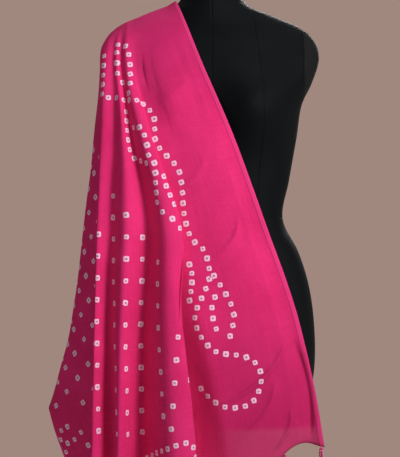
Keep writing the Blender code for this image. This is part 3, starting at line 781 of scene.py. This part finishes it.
class Nodes:
    """A short way of wiring a material's nodes."""

    def __init__(self, name):
        self.material = bpy.data.materials.new(name)
        self.material.use_nodes = True
        self.tree = self.material.node_tree
        self.shader = self.tree.nodes["Principled BSDF"]

    def add(self, kind, inputs=None, **settings):
        """A new node with its settings and with each input set or linked."""
        node = self.tree.nodes.new(kind)
        for key, value in settings.items():
            setattr(node, key, value)
        for key, value in (inputs or {}).items():
            self.set(node.inputs[key], value)
        return node

    def set(self, socket, value):
        """Links another node's output to the socket, or sets a plain value on it."""
        if isinstance(value, bpy.types.NodeSocket):
            self.tree.links.new(value, socket)
        else:
            socket.default_value = value

    def math(self, operation, *values):
        return self.add("ShaderNodeMath", dict(enumerate(values)), operation=operation).outputs[0]

    def times(self, a, b):
        return self.math("MULTIPLY", a, b)

    def plus(self, a, b):
        return self.math("ADD", a, b)

    def minus(self, a, b):
        return self.math("SUBTRACT", a, b)

    def band(self, value, low, high, to_low=0.0, to_high=1.0):
        """to_low up to low, to_high past high, and a smooth change between them."""
        ends = {"From Min": low, "From Max": high, "To Min": to_low, "To Max": to_high}
        inputs = {"Value": value, **ends}
        return self.add("ShaderNodeMapRange", inputs, interpolation_type="SMOOTHSTEP").outputs[0]

    def fall(self, value, low, high):
        """1 up to low and 0 past high."""
        return self.band(value, low, high, 1.0, 0.0)

    def strip(self, value, low, middle, high):
        """1 at the middle of a strip, and 0 outside it."""
        return self.times(self.band(value, low, middle), self.fall(value, middle, high))

    def tinted(self, base, mask, share, colour):
        """The base colour, turned by this share to another one where the mask is 1."""
        return self.mix(self.times(mask, share), base, colour)

    def mix(self, factor, a, b):
        return self.add("ShaderNodeMix", {0: factor, 6: a, 7: b}, data_type="RGBA").outputs[2]

    def noise(self, vector, scale, detail=2.0, roughness=0.5):
        inputs = {"Vector": vector, "Scale": scale, "Detail": detail, "Roughness": roughness}
        return self.add("ShaderNodeTexNoise", inputs).outputs["Fac"]

    def split(self, source):
        """A vector output together with its three parts."""
        return source, *self.add("ShaderNodeSeparateXYZ", {0: source}).outputs

    def uv(self, name):
        return self.split(self.add("ShaderNodeUVMap", uv_map=name).outputs[0])

    def place(self):
        return self.split(self.add("ShaderNodeTexCoord").outputs["Object"])

    def bump(self, height, strength):
        inputs = {"Strength": strength, "Distance": 1.0, "Height": height}
        return self.add("ShaderNodeBump", inputs).outputs[0]

    def finish(self, **values):
        """The material, with these values on its shader. An underscore stands for a space."""
        for key, value in values.items():
            self.set(self.shader.inputs[key.replace("_", " ")], value)
        return self.material


def crease_height(n, across, along_cloth):
    """The height of the soft creases at each place on the front fall, for the bump."""
    total = None
    for crease in CREASES:
        (ax, ay), (bx, by) = crease_ends(crease)
        length = math.hypot(bx - ax, by - ay)
        ux, uy = (bx - ax) / length, (by - ay) / length
        east, south = n.minus(across, ax), n.minus(along_cloth, ay)
        share = n.math("MULTIPLY_ADD", east, ux / length, n.times(south, uy / length))
        aside = n.math("MULTIPLY_ADD", east, uy, n.times(south, -ux))
        bowed = n.math("MULTIPLY_ADD", n.math("SINE", n.times(share, math.pi)), -CREASE_BOW, aside)
        scaled = n.math("DIVIDE", bowed, crease.half_width * 0.5)
        hump = n.math("EXPONENT", n.times(n.times(scaled, scaled), -1.0))
        fade = n.times(n.band(share, 0.0, 0.25), n.fall(share, 0.75, 1.0))
        raised = n.times(n.times(hump, fade), 1.7 * crease.height)
        total = raised if total is None else n.plus(total, raised)
    return total


def thread(n, value, pitch):
    """The height of threads of this pitch, running across the value's direction."""
    return n.math("ABSOLUTE", n.math("SINE", n.times(value, 2 * math.pi / pitch)))


def print_reach(n, position, dot_x, dot_y):
    """How far a place is from its dot's centre: 1 on the dot's rounded square outline, which is ragged."""
    ragged = n.times(n.minus(n.noise(position, 420.0), 0.5), 0.34)
    corners = [n.math("POWER", n.math("ABSOLUTE", place), DOT_SQUARENESS) for place in (dot_x, dot_y)]
    return n.plus(n.math("POWER", n.plus(*corners), 1 / DOT_SQUARENESS), ragged)


def cloth_finish():
    """Fine plain-woven magenta cotton, with slubs, sewn edges, pale tie-dyed dots, and painted shade and a
    painted glow on its panel.
    """
    n = Nodes("cotton")
    cloth, across, along_cloth, _ = n.uv("cloth")
    _, dot_x, dot_y, _ = n.uv("dot")
    position, _, _, z = n.place()

    slubs = []
    for scale in ((1400.0, 26.0, 1.0), (24.0, 1500.0, 1.0)):
        stretched = n.add("ShaderNodeMapping", {"Vector": cloth, "Scale": scale})
        slubs.append(n.noise(stretched.outputs[0], 1.0, 2.0, 0.6))
    threads = n.times(n.plus(*slubs), 0.5)
    tone = n.plus(n.times(n.noise(position, 9.0, 3.0), 0.45), n.times(threads, 0.65))
    dyed = n.mix(n.band(tone, 0.36, 0.76), (0.66, 0.016, 0.128, 1.0), (0.90, 0.036, 0.208, 1.0))

    side_edge = n.math("MINIMUM", across, n.minus(CLOTH_WIDTH, across))
    end_edge = n.math("MINIMUM", n.minus(FRONT_LENGTH, along_cloth), n.plus(along_cloth, BACK_LENGTH))
    hem = n.fall(side_edge, 0.0078, 0.0092)
    hem_line = n.strip(side_edge, 0.0075, 0.0085, 0.0096)
    rolled = n.fall(end_edge, 0.0012, 0.0030)
    run = n.times(n.plus(across, along_cloth), 2 * math.pi / STITCH_LENGTH)
    stitches = n.math("GREATER_THAN", n.math("SINE", run), -0.2)
    seam = n.times(n.band(side_edge, 0.0062, 0.0066), n.fall(side_edge, 0.0070, 0.0074))

    # Painted shade: the panel is darkened towards the hip and the hem, and a little near the chest, and a
    # painted pale glow of light lies on it below the form's bottom.
    panel = n.times(n.fall(across, 0.12, 0.17), n.band(along_cloth, 0.02, 0.06))
    painted_shade_low = n.times(panel, n.fall(z, 0.74, 0.96))
    painted_shade_chest = n.times(panel, n.band(z, 1.20, 1.36))
    painted_glow_below_form = n.times(panel, n.fall(z, FORM_BOTTOM - 0.008, FORM_BOTTOM + 0.004))
    for mask, share, colour in (
        # The first three are painted shade low down, painted shade at the chest, and a painted glow below
        # the form.
        (painted_shade_low, 0.50, (0.40, 0.010, 0.085, 1.0)),
        (painted_shade_chest, 0.30, (0.50, 0.024, 0.150, 1.0)),
        (painted_glow_below_form, 0.09, (0.62, 0.30, 0.40, 1.0)),
        (hem, 0.55, (0.90, 0.050, 0.250, 1.0)),
        (hem_line, 0.6, (0.33, 0.004, 0.065, 1.0)),
        (rolled, 0.6, (0.33, 0.004, 0.065, 1.0)),
        (n.times(stitches, seam), 0.5, (0.95, 0.12, 0.36, 1.0)),
    ):
        dyed = n.tinted(dyed, mask, share, colour)

    reach = print_reach(n, position, dot_x, dot_y)
    inside = n.fall(reach, 0.86, 1.02)
    pale = n.mix(n.noise(position, 260.0), (1.0, 0.42, 0.68, 1.0), (1.0, 0.76, 0.90, 1.0))
    dot_colour = n.tinted(pale, n.fall(reach, 0.20, 0.42), 0.85, (0.42, 0.085, 0.20, 1.0))
    halo = n.times(n.band(reach, 0.95, 1.08), n.fall(reach, 1.1, 1.45))
    dyed = n.tinted(dyed, halo, 0.22, (0.42, 0.006, 0.085, 1.0))

    height = n.times(n.plus(thread(n, across, THREAD_PITCH), thread(n, along_cloth, THREAD_PITCH)), 0.00010)
    for part, share in (
        (threads, 0.00035),
        (n.times(inside, n.minus(1.0, reach)), 0.0012),
        (hem_line, -0.0005),
        (hem, 0.0003),
        (n.noise(position, 38.0, 3.0), 0.0012),
    ):
        height = n.plus(height, n.times(part, share))
    height = n.plus(height, crease_height(n, across, along_cloth))
    return n.finish(
        Base_Color=n.mix(inside, dyed, dot_colour),
        Roughness=n.band(threads, 0.3, 0.7, 0.92, 0.72),
        Normal=n.bump(height, 0.75),
        Sheen_Weight=0.10,
        Sheen_Roughness=0.5,
        Sheen_Tint=(1.0, 0.25, 0.55, 1.0),
        Specular_IOR_Level=0.10,
    )


def form_finish():
    """Black stretch jersey, ribbed by its knit, with flat-felled seams."""
    n = Nodes("jersey")
    position, x, y, z = n.place()
    _, princess, waist, _ = n.uv("seams")
    _, centre, arm, _ = n.uv("edges")
    grooves = None
    for line, half in ((princess, 0.0011), (waist, 0.0011), (centre, 0.0011), (arm, 0.0016)):
        groove = n.fall(n.math("ABSOLUTE", line), half * 0.5, half * 1.6)
        grooves = groove if grooves is None else n.math("MAXIMUM", grooves, groove)
    knit = n.times(thread(n, z, KNIT_PITCH), thread(n, n.plus(x, y), KNIT_PITCH))
    fuzz = n.noise(position, 900.0)
    slack = n.noise(position, 7.0)
    base = n.mix(n.band(slack, 0.3, 0.7), (0.0012, 0.0017, 0.0022, 1.0), (0.0022, 0.0028, 0.0034, 1.0))
    base = n.tinted(base, fuzz, 0.35, (0.0045, 0.0055, 0.0068, 1.0))
    base = n.mix(n.band(arm, -0.0012, 0.0, 0.8, 0.0), base, (0.0105, 0.0105, 0.0115, 1.0))
    base = n.tinted(base, grooves, 0.7, (0.0012, 0.0013, 0.0015, 1.0))
    height = n.minus(n.plus(n.times(knit, 0.00018), n.times(fuzz, 0.00025)), n.times(grooves, 0.0012))
    return n.finish(
        Base_Color=base,
        Roughness=n.band(fuzz, 0.3, 0.7, 0.50, 0.66),
        Normal=n.bump(height, 0.6),
        Sheen_Weight=0.02,
        Sheen_Roughness=0.4,
        Specular_IOR_Level=0.09,
    )


def tassel_finish():
    """Twisted cotton strands in magenta, some of them pale."""
    n = Nodes("tassel_cotton")
    _, tint, drop, _ = n.uv("strand")
    position = n.place()[0]
    twist = n.math("SINE", n.plus(n.times(drop, 5200.0), n.times(tint, 40.0)))
    shade = n.plus(n.times(n.noise(position, 500.0), 0.7), n.times(twist, 0.12))
    pink = n.mix(n.band(shade, 0.2, 0.7), (0.55, 0.012, 0.13, 1.0), (0.86, 0.06, 0.27, 1.0))
    pale = n.mix(n.band(shade, 0.2, 0.7), (0.82, 0.42, 0.56, 1.0), (1.0, 0.80, 0.88, 1.0))
    return n.finish(
        Base_Color=n.mix(n.math("GREATER_THAN", tint, 0.78), pink, pale),
        Roughness=0.78,
        Normal=n.bump(n.times(twist, 0.00012), 0.6),
        Sheen_Weight=0.3,
        Sheen_Roughness=0.4,
    )


def metal_finish():
    """Satin black powder-coated steel, a little worn."""
    n = Nodes("coated_steel")
    position = n.place()[0]
    wear = n.noise(position, 22.0, 4.0, 0.65)
    return n.finish(
        Base_Color=n.mix(n.band(wear, 0.50, 0.80), (0.018, 0.018, 0.020, 1.0), (0.030, 0.030, 0.032, 1.0)),
        Roughness=n.band(wear, 0.35, 0.75, 0.70, 0.76),
        Specular_IOR_Level=0.25,
        Normal=n.bump(n.times(n.noise(position, 700.0), 0.0002), 0.35),
    )


def stage_finish(name, colour, roughness):
    """A plain finish for the floor, a touch uneven."""
    n = Nodes(name)
    r, g, b, a = colour
    uneven = n.noise(n.place()[0], 3.0, 3.0)
    shade = n.mix(uneven, colour, (r * 1.04, g * 1.04, b * 1.04, a))
    return n.finish(Base_Color=shade, Roughness=roughness)


def princess_x(z):
    """How far from the centre the form's princess seams run at each height."""
    return smooth_through((0.68, 0.86, 1.05, 1.25, 1.44), (0.118, 0.118, 0.082, 0.092, 0.074), z)


def object_from(shape, name, finish):
    """A smooth object made from a bmesh, with its faces turned outward."""
    bmesh.ops.recalc_face_normals(shape, faces=shape.faces)
    mesh = bpy.data.meshes.new(name)
    shape.to_mesh(mesh)
    shape.free()
    return new_object(name, mesh, finish)


def build_torso(finish):
    """The form's torso as one fine surface, with the places of its seams in two UV maps."""
    levels = [FORM_BOTTOM, *np.linspace(0.686, 1.31, 110), *np.linspace(1.314, 1.47, 60)]
    levels += [1.485, 1.497, FORM_TOP]
    shape = bmesh.new()
    loops = []
    for z in levels:
        loops.append([shape.verts.new(point) for point in form_ring(z, TORSO_SIDES)])
    for lower, upper in zip(loops, loops[1:]):
        for i in range(TORSO_SIDES):
            j = (i + 1) % TORSO_SIDES
            shape.faces.new((lower[i], lower[j], upper[j], upper[i]))
    shape.faces.new(loops[0][::-1])
    shape.faces.new(loops[-1])
    seams = shape.loops.layers.uv.new("seams")
    edges = shape.loops.layers.uv.new("edges")
    for face in shape.faces:
        for loop in face.loops:
            x, y, z = loop.vert.co
            loop[seams].uv = (abs(x) - float(princess_x(np.array([z]))[0]), z - WAIST_Z)
            arm = max(ARMHOLE_X - abs(x), ARMHOLE_LOW - z)
            loop[edges].uv = (x if abs(y) > 0.03 else 0.5, arm)
    made = object_from(shape, "torso", finish)
    made.data.set_sharp_from_angle(angle=math.radians(50))
    return made


def hem_points(patches, fall):
    """How far across the cloth each column ends on a hem, its end, and the point above its end."""
    grid, across, _, _ = patches[fall.name]
    side, side_across, side_along = (part[::-fall.sign] for part in patches["side"][:3])
    low = -fall.sign * side_along[:, -1]
    on_hem = low > fall.length - 0.0005
    places = np.concatenate([across[:, -1], side_across[on_hem, -1] + 1e-6])
    ends = np.concatenate([grid[:, -1], side[on_hem, -1]])
    above = np.concatenate([grid[:, -2], side[on_hem, -2]])
    return places, ends, above


def hem_place(across, hem):
    """A place on a hem, and the direction straight out of it."""
    places, ends, above = hem
    run = read_along(across + 0.004, places, ends) - read_along(across - 0.004, places, ends)
    run /= np.linalg.norm(run)
    place = read_along(across, places, ends)
    out = place - read_along(across, places, above)
    out -= run * out.dot(run)
    return place, out / np.linalg.norm(out)


def build_tassel(name, place, finish, turn):
    """A bound head, and fine strands of twisted cotton falling from it."""
    shape = bmesh.new()
    strand_uv = shape.loops.layers.uv.new("strand")

    def tube(line, radii, sides, tint):
        """A closed tube along a line of points, with its tint and its drop in the UV map."""
        rings = []
        for point, radius in zip(line, radii):
            ring = []
            for k in range(sides):
                angle = 2 * math.pi * k / sides
                ring.append(shape.verts.new(point + Vector((math.cos(angle), math.sin(angle), 0)) * radius))
            rings.append(ring)
        made = []
        for upper, lower in zip(rings, rings[1:]):
            for k in range(sides):
                j = (k + 1) % sides
                made.append(shape.faces.new((upper[j], upper[k], lower[k], lower[j])))
        made.append(shape.faces.new(rings[0]))
        made.append(shape.faces.new(rings[-1][::-1]))
        for face in made:
            for loop in face.loops:
                loop[strand_uv].uv = (tint, -loop.vert.co.z)

    head = [Vector((0, 0, -TASSEL_HEAD * t)) for t in np.linspace(0, 1, 13)]
    profile = (0.10, 0.34, 0.58, 0.74, 0.82, 0.86, 0.84, 0.66, 0.60, 0.66, 0.80, 0.88, 0.86)
    tube(head, [TASSEL_RADIUS * p for p in profile], 14, 0.3)
    for k in range(3):
        band = [Vector((0, 0, -TASSEL_HEAD * (0.60 + 0.05 * k) - 0.0002 + 0.0002 * s)) for s in range(3)]
        tube(band, [TASSEL_RADIUS * r for r in (0.66, 0.76, 0.66)], 12, 0.9)
    for k in range(STRANDS):
        angle = GOLDEN_ANGLE * k + turn
        spread = math.sqrt((k + 0.5) / STRANDS)
        tint = 0.5 + 0.5 * math.sin(7.3 * k + turn)
        length = TASSEL_LENGTH * (0.97 + 0.035 * math.sin(3.1 * k + 2 * turn))
        line = []
        for t in np.linspace(0, 1, 7):
            out = TASSEL_RADIUS * spread * (0.72 + 0.45 * t)
            wag = 0.0005 * math.sin(6 * t + k)
            line.append(Vector((
                math.cos(angle + 0.25 * t) * out + wag,
                math.sin(angle + 0.25 * t) * out - wag,
                -TASSEL_HEAD * 0.9 - length * t,
            )))
        tube(line, [0.00042] * 6 + [0.00030], 4, tint)
    made = object_from(shape, f"fine_{name}", finish)
    made.location = place
    return made


def aim(light, place, target):
    """Puts a lamp at a place and points it at the target."""
    light.location = place
    light.rotation_euler = (Vector(target) - Vector(place)).to_track_quat("-Z", "Y").to_euler()


def build_world():
    """A plain backdrop tone for the camera, and a faint even glow for the light."""
    world = bpy.data.worlds.new("studio")
    world.use_nodes = True
    tree = world.node_tree
    shown = tree.nodes["Background"]
    shown.inputs["Color"].default_value = (0.352, 0.246, 0.209, 1.0)
    glow = tree.nodes.new("ShaderNodeBackground")
    glow.inputs["Color"].default_value = (1.0, 0.97, 0.96, 1.0)
    glow.inputs["Strength"].default_value = 0.13
    seen = tree.nodes.new("ShaderNodeLightPath")
    choice = tree.nodes.new("ShaderNodeMixShader")
    tree.links.new(seen.outputs["Is Camera Ray"], choice.inputs[0])
    tree.links.new(glow.outputs[0], choice.inputs[1])
    tree.links.new(shown.outputs[0], choice.inputs[2])
    tree.links.new(choice.outputs[0], tree.nodes["World Output"].inputs["Surface"])
    bpy.context.scene.world = world


def build_lamps():
    """A soft key from the front right, and four broad lamps round it."""
    key = bpy.data.lights.new("key", "SPOT")
    key.energy = 228
    key.spot_size = math.radians(40)
    key.spot_blend = 1.0
    key.shadow_soft_size = 0.32
    aim(add_to_scene("key", key), (1.75, -2.1, 1.75), (-0.08, 0, 1.17))
    middle = (-0.03, 0, 1.0)
    for name, place, target, size, power in (
        ("side", (2.1, -1.9, 1.9), middle, (0.8, 1.2), 16),
        ("fill", (-2.2, -2.2, 1.3), middle, (1.6, 2.0), 7),
        ("rim", (0.6, 2.2, 2.2), middle, (1.0, 1.2), 40),
        ("top", (0.2, 0.1, 3.4), (0.0, 0.0, 0.0), (2.0, 2.0), 16),
    ):
        data = bpy.data.lights.new(name, "AREA")
        data.shape = "RECTANGLE"
        data.size, data.size_y = size
        data.energy = power
        aim(add_to_scene(name, data), place, target)


def build_studio():
    """The floor, the backdrop, the lamps and the camera that frames the photo's cut-out."""
    floor = bpy.data.meshes.new("floor")
    corners = [(x * FLOOR_HALF, y * FLOOR_HALF, 0) for x, y in ((-1, -1), (1, -1), (1, 1), (-1, 1))]
    floor.from_pydata(corners, [], [(0, 1, 2, 3)])
    new_object("floor", floor, stage_finish("pale_floor", (0.80, 0.78, 0.76, 1.0), 0.9))
    build_world()
    build_lamps()
    camera = add_to_scene("camera", bpy.data.cameras.new("camera"))
    camera.location = (-0.0213, -2.5, 1.0324)
    camera.rotation_euler = (math.radians(90), 0, 0)
    camera.data.lens = 106.5
    camera.data.sensor_width = 36
    bpy.context.scene.camera = camera
    bpy.context.scene.view_settings.view_transform = "Standard"


def main():
    """Builds the fine pieces in place of the plain ones, and the studio round them."""
    jersey, metal, thread_finish = form_finish(), metal_finish(), tassel_finish()
    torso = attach(build_torso(jersey), "root")
    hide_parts("form_body", "form_arm_cap_left", "form_arm_cap_right")
    patches = cloth_patches()
    for fall in (FRONT, BACK):
        hem = hem_points(patches, fall)
        for i in range(TASSELS_PER_END):
            name = f"tassel_{fall.name}_{i + 1:02d}"
            across = TASSEL_INSET + (CLOTH_WIDTH - 2 * TASSEL_INSET) * i / (TASSELS_PER_END - 1)
            place, out = hem_place(across, hem)
            tassel = build_tassel(name, Vector(place + out * TASSEL_DROP), thread_finish, TASSEL_TURN * i)
            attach(tassel, "root")
            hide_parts(name)
    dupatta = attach(build_cloth(cloth_finish(), patches), "root")
    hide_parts("dupatta_front", "dupatta_back", "dupatta_side")
    for name in ("form_neck_cap", "stand_base", "stand_pole"):
        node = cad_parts[name]
        node.data.materials.clear()
        node.data.materials.append(metal)
    build_studio()


main()
